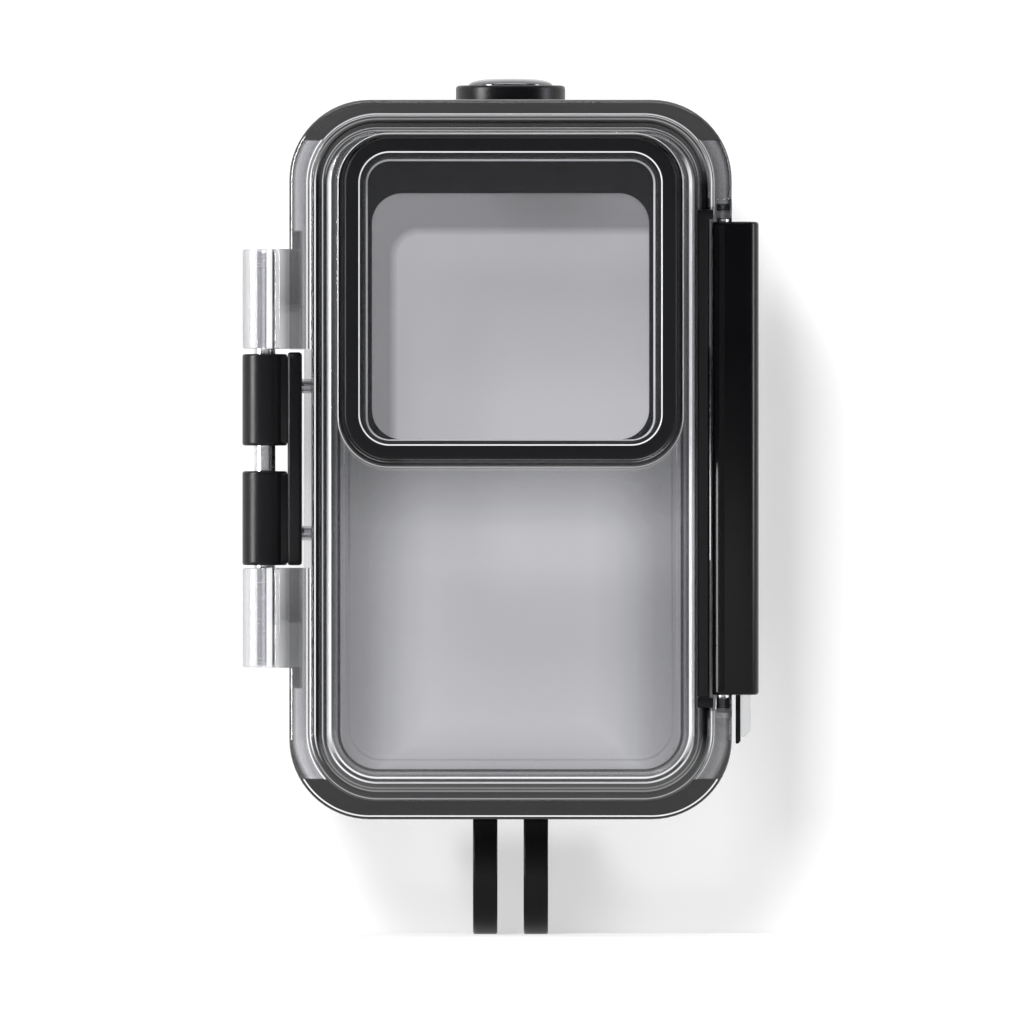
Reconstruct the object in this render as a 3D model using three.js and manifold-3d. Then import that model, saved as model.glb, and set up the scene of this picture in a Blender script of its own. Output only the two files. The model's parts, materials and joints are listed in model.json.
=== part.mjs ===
// Waterproof housing for a small upright action camera: a clear two-part case with a lens port,
// a side hinge, a long side latch with a lock, a shutter button and a two-finger mount.
// Millimetres. +X to the latch, -Y to the front, +Z up. The origin is the mount's pivot axis.
import * as THREE from "three";
import { mergeVertices } from "three/addons/utils/BufferGeometryUtils.js";
import Module from "manifold-3d";

const wasm = await Module();
wasm.setup();

// ---- driving dimensions ----

const body = { width: 54, height: 87.8, radius: 9.8, centreZ: 50.6 };
const seam = { y: -12.6, gap: 0.15 };
const fit = 0.3;
const running = 0.1;
const cornerSteps = 4;
const roundSteps = 24;

const coverDepths = { flange: -18.6, step: -19.7, panel: -20.9, port: -25.4 };
const stepRing = { width: 48.4, height: 83.6, radius: 8, z: 0.2 };
const panel = { width: 44.1, height: 79, radius: 6.3, z: 0.55 };
const port = { width: 42.2, height: 40.8, radius: 6.3, z: 19.4 };
const bezel = { width: 40.4, height: 39.2, radius: 5.5, z: 19.6, ring: 1.85, front: -25.8, back: -23.9 };
const sight = { width: 34.8, height: 33.9, radius: 2.7, z: 19.4 };
const glass = { front: -23.6, back: -21.6, ledge: -20.8 };
const baffle = { width: 38.4, top: 37.3, bottom: 0.8, band: 3.9, front: -18.2, back: -17.2 };

const cavity = { width: 44.6, height: 79.2, radius: 5.5, front: -16.1, back: 7.6 };
const coverPocket = { width: 39.4, height: 74.4, radius: 4, front: -18.4 };
const tub = { width: 50.4, height: 84.6, radius: 8.2, flangeBack: -8.05, back: 10.1 };
const seal = { width: 48.6, height: 83.2, radius: 7.6, ring: 1, depth: 1.1 };

const hinge = { x: -30, y: seam.y, radius: 2.75, pinRadius: 1.3, armX: -25.4, armFront: -18.9 };
const clearKnuckles = [
  [13.5, 25.7],
  [-25.4, -13.2],
];
const blackKnuckles = [
  [1.7, 12.9],
  [-12.9, -1.4],
];
const leaf = {
  outer: -27.2, inner: -25.5, front: -15.7, back: -1, top: 13.1, bottom: -12.9, coverGap: -24.1, caseGap: -25.2,
};
const leafScrew = { y: -4.4, z: 9, radius: 0.9, head: 1.8, headDepth: 0.9, tip: -23.2 };

const latch = { x: 25.9, y: -18.9, barrel: 1.3, pinRadius: 0.7, top: 29, bottom: -28.7 };
const lever = { front: -20.3, outer: 30.25, inner: 27.4, web: 2.4, tail: -2, lip: 30.4 };
const latchSeat = { x: 22.45, floor: -16.2, top: 30.8, bottom: -30.6 };
const lug = { inner: 24.9, front: -20.3, depth: 2.6 };
const strip = { inner: 22.8, outer: 24.2, front: -19.4, top: 28.6, bottom: -29 };
const leafSpring = { inner: 24.25, outer: 24.45, front: -19.9, back: -17, top: 13.5, bottom: -12.3 };
const catchRail = { inner: 25.35, outer: 26.9, front: -7.75, back: -5, half: 24 };
const lock = { inner: 27.5, split: 28.2, outer: 29.3, front: -10.4, back: -6.6, top: -22, bottom: -34.7 };
const lockTravel = 3;

const button = { radius: 6.7, seat: 1, top: 45.8, well: 5.45, wellFloor: 43.6 };
const cap = { radius: 5.15, rim: 45.1, dome: 46.65, hollow: 4.4, ceiling: 45.7 };
const stem = { radius: 1.7, bottom: 38.7, sealOuter: 3, sealHeight: 0.7 };
const buttonTravel = 1.3;
const coil = { radius: 3.3, wire: 0.22, turns: 2.25 };

const fork = { finger: 3, gap: 3.2, radius: 7.45, hole: 2.5, width: 17, depth: 14, recess: 0.8 };
const forkScrew = { x: 6.6, y: 4.6, radius: 0.9, head: 1.7, headDepth: 0.8, sunk: 1, length: 3.4 };
const cushion = { thick: 1.8, half: 27, front: -8, back: 5 };

// ---- materials ----

const finishes = {
  clear: { color: 0xb9bac0, roughness: 0.06, metalness: 0 },
  glass: { color: 0xe6eaee, roughness: 0.02, metalness: 0 },
  black: { color: 0x1c1d20, roughness: 0.55, metalness: 0 },
  satin: { color: 0x121215, roughness: 0.32, metalness: 0 },
  silicone: { color: 0x8a8c90, roughness: 0.6, metalness: 0 },
  rubber: { color: 0x202124, roughness: 0.7, metalness: 0 },
  steel: { color: 0xb8babd, roughness: 0.22, metalness: 1 },
  polished: { color: 0xd6d7da, roughness: 0.1, metalness: 1 },
};

// ---- shapes and solids ----

// A rounded rectangle, centred on x = 0 and on its own height z, drawn in x and z.
function roundedRect({ width, height, radius, z = 0 }, grow = 0) {
  const halfWidth = width / 2 + grow;
  const halfHeight = height / 2 + grow;
  const r = Math.max(radius + grow, 0.2);
  const shape = new THREE.Shape();
  shape.moveTo(halfWidth, z - halfHeight + r);
  shape.absarc(halfWidth - r, z + halfHeight - r, r, 0, Math.PI / 2);
  shape.absarc(-halfWidth + r, z + halfHeight - r, r, Math.PI / 2, Math.PI);
  shape.absarc(-halfWidth + r, z - halfHeight + r, r, Math.PI, Math.PI * 1.5);
  shape.absarc(halfWidth - r, z - halfHeight + r, r, Math.PI * 1.5, Math.PI * 2);
  return shape;
}

// A closed mesh as a solid that can be joined and cut.
function solid(geometry) {
  const bare = geometry.clone();
  bare.deleteAttribute("normal");
  bare.deleteAttribute("uv");
  const merged = mergeVertices(bare, 1e-4);
  const vertProperties = new Float32Array(merged.attributes.position.array);
  const triVerts = new Uint32Array(merged.index.array);
  return new wasm.Manifold(new wasm.Mesh({ numProp: 3, vertProperties, triVerts }));
}

function join(...pieces) {
  return pieces.reduce((whole, piece) => whole.add(piece));
}

function cut(whole, ...tools) {
  return tools.reduce((rest, tool) => rest.subtract(tool), whole);
}

// The outline in x and z, pushed through in y from front to back, with its end edges broken.
function slab(shape, front, back, edge = 0) {
  const geometry = new THREE.ExtrudeGeometry(shape, {
    depth: back - front - 2 * edge,
    curveSegments: cornerSteps,
    bevelEnabled: edge > 0,
    bevelThickness: edge,
    bevelSize: edge,
    bevelOffset: -edge,
    bevelSegments: 1,
  });
  geometry.rotateX(Math.PI / 2);
  geometry.translate(0, back - edge, 0);
  return solid(geometry);
}

// The outline in x and y, raised in z from bottom to top.
function prism(shape, bottom, top, edge = 0) {
  const geometry = new THREE.ExtrudeGeometry(shape, {
    depth: top - bottom - 2 * edge,
    curveSegments: roundSteps / 2,
    bevelEnabled: edge > 0,
    bevelThickness: edge,
    bevelSize: edge,
    bevelOffset: -edge,
    bevelSegments: 1,
  });
  geometry.translate(0, 0, bottom + edge);
  return solid(geometry);
}

function box(x0, x1, y0, y1, z0, z1) {
  const geometry = new THREE.BoxGeometry(x1 - x0, y1 - y0, z1 - z0);
  geometry.translate((x0 + x1) / 2, (y0 + y1) / 2, (z0 + z1) / 2);
  return solid(geometry);
}

function polygon(points) {
  return new THREE.Shape(points.map(([x, y]) => new THREE.Vector2(x, y)));
}

function disc(x, y, radius) {
  const shape = new THREE.Shape();
  shape.absarc(x, y, radius, 0, Math.PI * 2);
  return shape;
}

function post(x, y, radius, bottom, top, edge = 0) {
  return prism(disc(x, y, radius), bottom, top, edge);
}

// A turned piece about the vertical axis: the profile holds (radius, height) points.
function turned(profile) {
  const points = profile.map(([r, z]) => new THREE.Vector2(r, z));
  const geometry = new THREE.LatheGeometry(points, roundSteps);
  geometry.rotateX(Math.PI / 2);
  return solid(geometry);
}

// A screw about the vertical axis: its head's face is at z = 0 and it points up.
function screw({ radius, head, length, headDepth }) {
  const slot = box(-head, head, -0.25, 0.25, -1, 0.4);
  const turnedScrew = turned([
    [0, 0],
    [head, 0],
    [head, headDepth],
    [radius, headDepth],
    [radius, length - 0.5],
    [radius - 0.5, length],
    [0, length],
  ]);
  return cut(turnedScrew, slot);
}

// ---- assembly ----

const housing = new THREE.Group();
const upper = new THREE.Group();
upper.position.z = body.centreZ;
housing.add(upper);

function addPart(name, finish, made, parent = upper) {
  const data = made.getMesh();
  const geometry = new THREE.BufferGeometry();
  geometry.setAttribute("position", new THREE.BufferAttribute(data.vertProperties, 3));
  geometry.setIndex(new THREE.BufferAttribute(data.triVerts, 1));
  geometry.computeVertexNormals();
  const mesh = new THREE.Mesh(geometry, new THREE.MeshStandardMaterial(finishes[finish]));
  mesh.name = name;
  parent.add(mesh);
  return mesh;
}

// ---- front cover and lens port ----

const coverBack = seam.y - seam.gap;
const caseFront = seam.y + seam.gap;

function hingeArm(bottom, top) {
  const arm = polygon([
    [hinge.x, hinge.y - hinge.radius],
    [hinge.x + 1.4, hinge.y - hinge.radius],
    [hinge.x + 1.6, hinge.armFront],
    [hinge.armX, hinge.armFront],
    [hinge.armX, coverBack],
    [hinge.x, coverBack],
  ]);
  const knuckle = prism(disc(hinge.x, hinge.y, hinge.radius), bottom, top, fit);
  return join(prism(arm, bottom, top), knuckle);
}

function latchLug(bottom, top) {
  return box(lug.inner, body.width / 2, lug.front, latchSeat.floor, bottom, top);
}

function frontCover() {
  const outside = join(
    slab(roundedRect(body), coverDepths.flange, coverBack, 0.8),
    slab(roundedRect(stepRing), coverDepths.step, coverBack, 0.5),
    slab(roundedRect(panel), coverDepths.panel, coverBack, 0.6),
    slab(roundedRect(port), coverDepths.port, coverBack, 0.5),
    ...clearKnuckles.map(([bottom, top]) => hingeArm(bottom, top)),
  );
  const { port: front } = coverDepths;
  const leafNotch = box(-body.width, leaf.coverGap, front, 0, clearKnuckles[1][1], clearKnuckles[0][0]);
  const seat = box(latchSeat.x, body.width, front, latchSeat.floor, latchSeat.bottom, latchSeat.top);
  const seated = join(
    cut(outside, seat),
    latchLug(latch.top + fit, latch.top + fit + lug.depth),
    latchLug(latch.bottom - fit - lug.depth, latch.bottom - fit),
  );
  return cut(
    seated,
    leafNotch,
    slab(roundedRect(cavity), cavity.front, 0),
    slab(roundedRect({ ...coverPocket, z: panel.z }), coverPocket.front, cavity.front + 1),
    slab(roundedRect(bezel, fit), -body.width, glass.ledge),
    slab(roundedRect(sight), -body.width, 0),
    post(hinge.x, hinge.y, hinge.pinRadius + running, -body.height, body.height),
    post(latch.x, latch.y, latch.pinRadius + running, latch.bottom - 2.2, latch.top + 2.2),
  );
}

function ringSlab(outline, width, front, back, edge = 0) {
  const opening = slab(roundedRect(outline, -width), front - 1, back + 1);
  return cut(slab(roundedRect(outline), front, back, edge), opening);
}

addPart("front_cover", "clear", frontCover());
addPart("window_bezel", "black", ringSlab(bezel, bezel.ring, bezel.front, bezel.back, 0.35));
addPart("window_glass", "glass", slab(roundedRect(bezel, -0.5), glass.front, glass.back, 0.3));
addPart("window_gasket", "rubber", ringSlab({ ...bezel, width: bezel.width - 0.8, height: bezel.height - 0.8 },
  1.9, glass.back + 0.15, glass.ledge - 0.15));

function portBaffle() {
  const middle = (baffle.top + baffle.bottom) / 2;
  const plate = { width: baffle.width, height: baffle.top - baffle.bottom, radius: 3.5, z: middle };
  const hole = { ...sight, height: sight.height - baffle.band, width: sight.width - 1, radius: 3.7 };
  hole.z = sight.z - baffle.band / 2;
  return cut(slab(roundedRect(plate), baffle.front, baffle.back), slab(roundedRect(hole), -body.width, 0));
}
addPart("port_baffle", "black", portBaffle());

// ---- rear case and what is fixed to it ----

function rearCase() {
  const halfTub = tub.height / 2;
  const groove = { ...seal, width: seal.width + 0.6, height: seal.height + 0.6 };
  const outside = join(
    slab(roundedRect(body), caseFront, tub.flangeBack, 0.8),
    slab(roundedRect(tub), caseFront, tub.back, 1.6),
  );
  const recess = box(-fork.width / 2 - fit, fork.width / 2 + fit, -fork.depth / 2 - fit, fork.depth / 2 + fit,
    -body.height, -halfTub + fork.recess);
  const screwHoles = forkCorners().map(([x, y]) =>
    post(x, y, forkScrew.radius + running, -body.height, -halfTub + forkScrew.length - 1.3));
  return cut(
    outside,
    slab(roundedRect(cavity), -body.width, cavity.back),
    ringSlab(groove, seal.ring + 0.6, -body.width, caseFront + seal.depth + fit),
    box(-body.width, leaf.caseGap, -body.width, 0, leaf.bottom - fit, leaf.top + fit),
    ...leafScrewPlaces().map((z) =>
      acrossX(post(0, 0, leafScrew.radius + running, 0, 3), leafScrew.tip + fit, leafScrew.y, z)),
    recess,
    ...screwHoles,
    post(0, 0, button.radius + fit, halfTub - button.seat, body.height),
    post(0, 0, stem.sealOuter + fit, halfTub - button.seat - stem.sealHeight - 0.1, body.height),
    post(0, 0, stem.radius + fit, 0, body.height),
  );
}

function forkCorners() {
  return [-1, 1].flatMap((sideX) => [-1, 1].map((sideY) => [sideX * forkScrew.x, sideY * forkScrew.y]));
}

function leafScrewPlaces() {
  return [leafScrew.z, -leafScrew.z];
}

// Lays an upright piece along -X, with its foot at x.
function acrossX(upright, x, y, z) {
  return upright.rotate([0, -90, 0]).translate([x, y, z]);
}

function hingeLeaf() {
  const plate = box(leaf.outer, leaf.inner, leaf.front, leaf.back, leaf.bottom, leaf.top);
  const knuckles = blackKnuckles.map(([bottom, top]) =>
    join(
      post(hinge.x, hinge.y, hinge.radius, bottom, top, fit),
      box(hinge.x, leaf.inner, hinge.y - 1.9, hinge.y + 1.9, bottom + fit, top - fit),
    ),
  );
  const screwSeats = leafScrewPlaces().map((z) =>
    acrossX(post(0, 0, leafScrew.radius + running, 0, 4), leaf.inner + 1, leafScrew.y, z));
  return cut(
    join(plate, ...knuckles),
    post(hinge.x, hinge.y, hinge.pinRadius + running, -body.height, body.height),
    ...screwSeats,
  );
}

function leafScrewSolid(z) {
  const shaft = acrossX(post(0, 0, leafScrew.radius, 0, 4.2), leafScrew.tip, leafScrew.y, z);
  const flatHead = post(0, 0, leafScrew.head, 0, leafScrew.headDepth, 0.2);
  const head = acrossX(flatHead, leaf.outer - 0.1, leafScrew.y, z);
  const slotX = leaf.outer - leafScrew.headDepth;
  const slot = box(slotX - 1, slotX + 0.3, leafScrew.y - 3, leafScrew.y + 3, z - 0.25, z + 0.25);
  return cut(join(shaft, head), slot);
}

addPart("rear_case", "clear", rearCase());
addPart("cover_seal", "silicone", ringSlab(seal, seal.ring, caseFront - 0.1, caseFront + seal.depth, 0.2));
addPart("hinge_leaf", "black", hingeLeaf());
addPart("hinge_pin", "steel", post(hinge.x, hinge.y, hinge.pinRadius, -25.2, 25.5, 0.3));
leafScrewPlaces().forEach((z, i) => addPart(`hinge_screw_${i + 1}`, "steel", leafScrewSolid(z)));
addPart("catch_rail", "black",
  box(catchRail.inner, catchRail.outer, catchRail.front, catchRail.back, -catchRail.half, catchRail.half));

for (const [name, side] of [["cushion_left", -1], ["cushion_right", 1]]) {
  const middle = side * (cavity.width / 2 - 0.2 - cushion.thick / 2);
  addPart(name, "silicone", box(middle - cushion.thick / 2, middle + cushion.thick / 2,
    cushion.front, cushion.back, -cushion.half, cushion.half));
}

// ---- latch and its lock ----

function latchLever() {
  const outline = new THREE.Shape();
  outline.moveTo(latch.x, lever.front + 0.1);
  outline.lineTo(lever.outer - 1.8, lever.front);
  outline.absarc(lever.outer - 1.8, lever.front + 1.8, 1.8, -Math.PI / 2, 0);
  outline.lineTo(lever.outer, lever.tail - 2.4);
  outline.lineTo(lever.lip, lever.tail - 0.8);
  outline.lineTo(lever.lip - 0.6, lever.tail);
  outline.lineTo(lever.inner + 0.4, lever.tail);
  outline.lineTo(lever.inner, lever.tail - 0.6);
  outline.lineTo(lever.inner, latch.y + lever.web);
  outline.lineTo(latch.x, latch.y + latch.barrel - 0.1);
  const arm = prism(outline, latch.bottom, latch.top, 0.4);
  const barrel = post(latch.x, latch.y, latch.barrel, latch.bottom, latch.top, 0.3);
  const channel = box(lever.inner - 1, lock.outer + fit, lock.front - fit, lock.back + fit,
    latch.bottom - 1, lock.top + lockTravel + 0.5);
  return cut(join(arm, barrel), channel,
    post(latch.x, latch.y, latch.pinRadius + running, -body.height, body.height));
}

function latchBase() {
  const rail = box(strip.inner, strip.outer, strip.front, latchSeat.floor - 0.2, strip.bottom, strip.top);
  const ends = [[latch.top + fit, latchSeat.top - 0.3], [latchSeat.bottom + 0.3, latch.bottom - fit]];
  const blocks = ends.map(([bottom, top]) =>
    box(strip.inner, lug.inner - 0.2, strip.front, latchSeat.floor - 0.2, bottom, top));
  const link = box(strip.inner, strip.outer, strip.front, latchSeat.floor - 0.2, strip.top - 1, latch.top + 1);
  return join(rail, link, ...blocks);
}

function lockPlate(inner, outer, bottomCut) {
  const side = polygon([
    [inner, lock.top],
    [inner, lock.bottom],
    [outer - bottomCut, lock.bottom],
    [outer, lock.bottom + bottomCut],
    [outer, lock.top],
  ]);
  return slab(side, lock.front, lock.back);
}

addPart("latch_lever", "satin", latchLever());
addPart("latch_base", "black", latchBase());
addPart("latch_pin", "steel", post(latch.x, latch.y, latch.pinRadius, latch.bottom - 2, latch.top + 2, 0.2));
addPart("latch_spring", "steel", box(leafSpring.inner, leafSpring.outer, leafSpring.front, leafSpring.back,
  leafSpring.bottom, leafSpring.top));
addPart("lock_slider", "black", lockPlate(lock.inner, lock.split - 0.1, 0.3));
addPart("lock_grip", "clear", lockPlate(lock.split, lock.outer, 0.8).subtract(
  box(0, body.width, -body.width, 0, -body.height, lock.bottom + 0.8)));

// ---- shutter button ----

const collarBottom = tub.height / 2 - button.seat + 0.1;

function buttonCollar() {
  const { radius, well, wellFloor, top } = button;
  return turned([
    [stem.radius + fit, collarBottom],
    [radius, collarBottom],
    [radius, top - 0.4],
    [radius - 0.5, top],
    [well + 0.2, top],
    [well, top - 0.2],
    [well, wellFloor],
    [stem.radius + fit, wellFloor],
    [stem.radius + fit, collarBottom],
  ]);
}

function buttonCap() {
  const domeSteps = 6;
  const edge = cap.rim + 0.7;
  const profile = [[0, cap.ceiling], [cap.hollow, cap.ceiling], [cap.hollow, cap.rim], [cap.radius, cap.rim]];
  for (let i = 0; i <= domeSteps; i += 1) {
    const angle = (i / domeSteps) * (Math.PI / 2);
    profile.push([cap.radius * Math.cos(angle) ** 0.6, edge + (cap.dome - edge) * Math.sin(angle)]);
  }
  profile[profile.length - 1][0] = 0;
  return turned(profile);
}

function buttonStem() {
  const clip = stem.bottom + 0.3;
  return turned([
    [0, stem.bottom],
    [stem.radius, stem.bottom],
    [stem.radius, clip],
    [1.2, clip],
    [1.2, clip + 0.6],
    [stem.radius, clip + 0.6],
    [stem.radius, cap.ceiling - 0.2],
    [0, cap.ceiling - 0.2],
  ]);
}

// A flat ring about the vertical axis.
function washer(innerRadius, outerRadius, bottom, top) {
  return turned([
    [innerRadius, bottom],
    [outerRadius, bottom],
    [outerRadius, top],
    [innerRadius, top],
    [innerRadius, bottom],
  ]);
}

class Helix extends THREE.Curve {
  constructor(radius, bottom, height, turns) {
    super();
    Object.assign(this, { radius, bottom, height, turns });
  }

  getPoint(t, target = new THREE.Vector3()) {
    const angle = t * this.turns * Math.PI * 2;
    const height = this.bottom + this.height * t;
    return target.set(this.radius * Math.cos(angle), this.radius * Math.sin(angle), height);
  }
}

function buttonSpring() {
  const bottom = button.wellFloor + coil.wire + 0.15;
  const height = cap.ceiling - coil.wire - 0.15 - bottom;
  const path = new Helix(coil.radius, bottom, height, coil.turns);
  const wire = new THREE.Shape();
  wire.absarc(0, 0, coil.wire, 0, Math.PI * 2);
  const settings = { steps: 36, curveSegments: 3, bevelEnabled: false, extrudePath: path };
  return solid(new THREE.ExtrudeGeometry(wire, settings));
}

const sealTop = tub.height / 2 - button.seat;
addPart("button_collar", "black", buttonCollar());
addPart("stem_seal", "rubber",
  washer(stem.radius + running, stem.sealOuter, sealTop - stem.sealHeight, sealTop - 0.1));
addPart("button_cap", "polished", buttonCap());
addPart("button_stem", "steel", buttonStem());
addPart("button_spring", "steel", buttonSpring());
addPart("stem_clip", "steel", washer(1.3, 3, stem.bottom + 0.4, stem.bottom + 0.8));
addPart("stem_tip", "rubber", post(0, 0, 2.2, stem.bottom - 0.7, stem.bottom - 0.1, 0.15));

// ---- two-finger mount ----

const bodyBottom = body.centreZ - body.height / 2;
const tubBottom = body.centreZ - tub.height / 2;

function mountFork() {
  const fingerOuter = fork.gap / 2 + fork.finger;
  const side = new THREE.Shape();
  side.moveTo(fork.radius, 0);
  side.lineTo(fork.radius, bodyBottom + 0.5);
  side.lineTo(-fork.radius, bodyBottom + 0.5);
  side.lineTo(-fork.radius, 0);
  side.absarc(0, 0, fork.radius, Math.PI, Math.PI * 2);
  const fingers = [fork.gap / 2, -fingerOuter].map((x) => {
    const geometry = new THREE.ExtrudeGeometry(side, {
      depth: fork.finger, curveSegments: roundSteps / 2, bevelEnabled: false });
    geometry.rotateX(Math.PI / 2);
    geometry.rotateZ(Math.PI / 2);
    geometry.translate(x, 0, 0);
    return solid(geometry);
  });
  const plate = box(-fork.width / 2, fork.width / 2, -fork.depth / 2, fork.depth / 2,
    bodyBottom, tubBottom + fork.recess - 0.1);
  const hole = post(0, 0, fork.hole, -10, 10).rotate([0, 90, 0]);
  const bores = forkCorners().flatMap(([x, y]) => [
    post(x, y, forkScrew.head + running, 0, bodyBottom + forkScrew.sunk),
    post(x, y, forkScrew.radius + running, 0, tubBottom + fork.recess),
  ]);
  return cut(join(plate, ...fingers), hole, ...bores);
}

addPart("mount_fork", "black", mountFork(), housing);
forkCorners().forEach(([x, y], i) =>
  addPart(`fork_screw_${i + 1}`, "steel", screw(forkScrew).translate([x, y, bodyBottom + 0.1]), housing));

export default housing;
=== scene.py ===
# Clear waterproof housing for an upright action camera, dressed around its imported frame.
import json
import math

import bmesh
import bpy
import numpy as np
from mathutils import Matrix, Vector


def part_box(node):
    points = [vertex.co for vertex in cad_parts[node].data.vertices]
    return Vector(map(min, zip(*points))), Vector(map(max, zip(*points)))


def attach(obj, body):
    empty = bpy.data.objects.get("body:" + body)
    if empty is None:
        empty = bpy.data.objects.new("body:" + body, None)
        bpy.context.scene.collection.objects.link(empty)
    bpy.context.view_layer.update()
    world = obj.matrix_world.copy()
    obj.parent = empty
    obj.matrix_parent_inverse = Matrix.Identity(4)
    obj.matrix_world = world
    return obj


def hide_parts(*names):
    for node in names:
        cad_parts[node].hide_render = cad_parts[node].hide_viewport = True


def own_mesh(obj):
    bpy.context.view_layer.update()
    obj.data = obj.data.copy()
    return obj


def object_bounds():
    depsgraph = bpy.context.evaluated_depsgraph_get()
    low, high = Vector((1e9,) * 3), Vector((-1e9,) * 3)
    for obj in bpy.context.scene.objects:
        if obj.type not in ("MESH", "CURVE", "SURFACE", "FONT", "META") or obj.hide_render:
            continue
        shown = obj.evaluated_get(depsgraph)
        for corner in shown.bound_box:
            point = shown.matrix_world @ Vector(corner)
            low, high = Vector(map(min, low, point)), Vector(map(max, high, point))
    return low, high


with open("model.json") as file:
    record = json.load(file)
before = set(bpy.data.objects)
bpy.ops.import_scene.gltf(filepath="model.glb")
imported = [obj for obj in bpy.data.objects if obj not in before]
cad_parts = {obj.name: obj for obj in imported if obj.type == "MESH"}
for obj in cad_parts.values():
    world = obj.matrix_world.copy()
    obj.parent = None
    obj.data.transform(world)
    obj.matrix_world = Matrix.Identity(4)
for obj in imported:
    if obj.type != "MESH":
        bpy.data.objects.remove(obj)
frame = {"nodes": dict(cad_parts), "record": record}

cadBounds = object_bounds()
mm = 0.001
coverLow, coverHigh = (Vector(corner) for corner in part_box("front_cover"))
bodyZ = (coverLow.z + coverHigh.z) / 2 / mm


# meshes

def toMesh(name, points, faces):
    mesh = bpy.data.meshes.new(name)
    mesh.from_pydata([tuple(p * mm) for p in np.asarray(points, dtype=float)], [], faces)
    tool = bmesh.new()
    tool.from_mesh(mesh)
    bmesh.ops.remove_doubles(tool, verts=tool.verts, dist=1e-7)
    bmesh.ops.recalc_face_normals(tool, faces=tool.faces)
    tool.to_mesh(mesh)
    tool.free()
    thing = bpy.data.objects.new(name, mesh)
    bpy.context.scene.collection.objects.link(thing)
    return thing


# a rounded rectangle in x and z at depth y, in millimetres from the body's middle
def outline(shape, y, grow=0.0, corner=16):
    halfWide = shape["width"] / 2 + grow
    halfTall = shape["height"] / 2 + grow
    radius = max(shape["radius"] + grow, 0.05)
    middle = shape.get("z", 0.0) + bodyZ
    points = []
    for quarter, (sx, sz) in enumerate([(1, 1), (-1, 1), (-1, -1), (1, -1)]):
        for step in range(corner + 1):
            angle = (quarter + step / corner) * math.pi / 2
            points.append((sx * (halfWide - radius) + radius * math.cos(angle), y,
                           middle + sz * (halfTall - radius) + radius * math.sin(angle)))
    return np.array(points)


# turns each key's corner into a small arc, with a support row on both sides to keep the flats flat
def softenKeys(keys, closed, steps=5, support=0.08):
    rows = []
    count = len(keys)
    for i, (loop, radius) in enumerate(keys):
        atEnd = not closed and i in (0, count - 1)
        if radius <= 0 or atEnd:
            rows.append(loop)
            continue
        before, after = keys[i - 1][0] - loop, keys[(i + 1) % count][0] - loop
        farBefore = np.linalg.norm(before, axis=1, keepdims=True)
        farAfter = np.linalg.norm(after, axis=1, keepdims=True)
        before, after = before / farBefore, after / farAfter
        reachBefore = np.minimum(radius, farBefore * 0.42)
        reachAfter = np.minimum(radius, farAfter * 0.42)
        start, end = loop + before * reachBefore, loop + after * reachAfter
        rows.append(start + before * np.minimum(support, farBefore * 0.06))
        for step in range(steps + 1):
            t = step / steps
            rows.append(start * (1 - t) ** 2 + loop * 2 * t * (1 - t) * 1.0 + end * t ** 2)
        rows.append(end + after * np.minimum(support, farAfter * 0.06))
    return rows


# a skin through the key loops: closed on itself like a ring, or capped at both ends
def loft(name, keys, closed=False, steps=5):
    rows = softenKeys(keys, closed, steps)
    width = len(rows[0])
    points = np.concatenate(rows)
    faces = []
    for row in range(len(rows) if closed else len(rows) - 1):
        here, there = row * width, ((row + 1) % len(rows)) * width
        for i in range(width):
            j = (i + 1) % width
            faces.append((here + i, here + j, there + j, there + i))
    if not closed:
        faces.append(tuple(range(width)))
        faces.append(tuple(range((len(rows) - 1) * width, len(rows) * width)))
    return toMesh(name, points, faces)


# turned about a vertical line: the profile holds (radius, height, corner radius)
def turn(name, profile, x=0.0, y=0.0, closed=False, around=64, steps=4):
    angles = np.linspace(0, 2 * math.pi, around, endpoint=False)
    keys = []
    for radius, height, soft in profile:
        loop = np.stack([x + radius * np.cos(angles), y + radius * np.sin(angles),
                         np.full(around, height + bodyZ)], axis=1)
        keys.append((loop, soft))
    return loft(name, keys, closed, steps)


# an outline in x and y raised between two heights, with its edges rounded by a bevel
def prism(name, points, bottom, top, bevel=0.0, segments=4, zero=None):
    base = bodyZ if zero is None else zero
    count = len(points)
    low = [(x, y, bottom + base) for x, y in points]
    high = [(x, y, top + base) for x, y in points]
    faces = [(i, (i + 1) % count, count + (i + 1) % count, count + i) for i in range(count)]
    faces += [tuple(range(count)), tuple(range(count, 2 * count))]
    return bevelled(toMesh(name, low + high, faces), bevel, segments)


def block(name, low, high, bevel=0.0, segments=4, zero=None):
    points = [(low[0], low[1]), (high[0], low[1]), (high[0], high[1]), (low[0], high[1])]
    return prism(name, points, low[2], high[2], bevel, segments, zero)


def arc(cx, cy, radius, start, end, steps=10):
    angles = np.radians(np.linspace(start, end, steps + 1))
    return [(cx + radius * math.cos(a), cy + radius * math.sin(a)) for a in angles]


def bake(thing):
    depsgraph = bpy.context.evaluated_depsgraph_get()
    mesh = bpy.data.meshes.new_from_object(thing.evaluated_get(depsgraph))
    thing.modifiers.clear()
    thing.data = mesh
    return thing


def bevelled(thing, width, segments=4, angle=30):
    if width <= 0:
        return thing
    bevel = thing.modifiers.new("edge", "BEVEL")
    bevel.width = width * mm
    bevel.segments = segments
    bevel.limit_method = "ANGLE"
    bevel.angle_limit = math.radians(angle)
    bevel.use_clamp_overlap = True
    return bake(thing)


def combine(thing, tools, operation):
    for tool in tools:
        step = thing.modifiers.new(operation.lower(), "BOOLEAN")
        step.operation = operation
        step.solver = "EXACT"
        step.object = tool
        bake(thing)
        bpy.data.objects.remove(tool)
    return thing


def placed(thing, matrix):
    thing.data.transform(matrix)
    return thing


# shader maths

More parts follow.
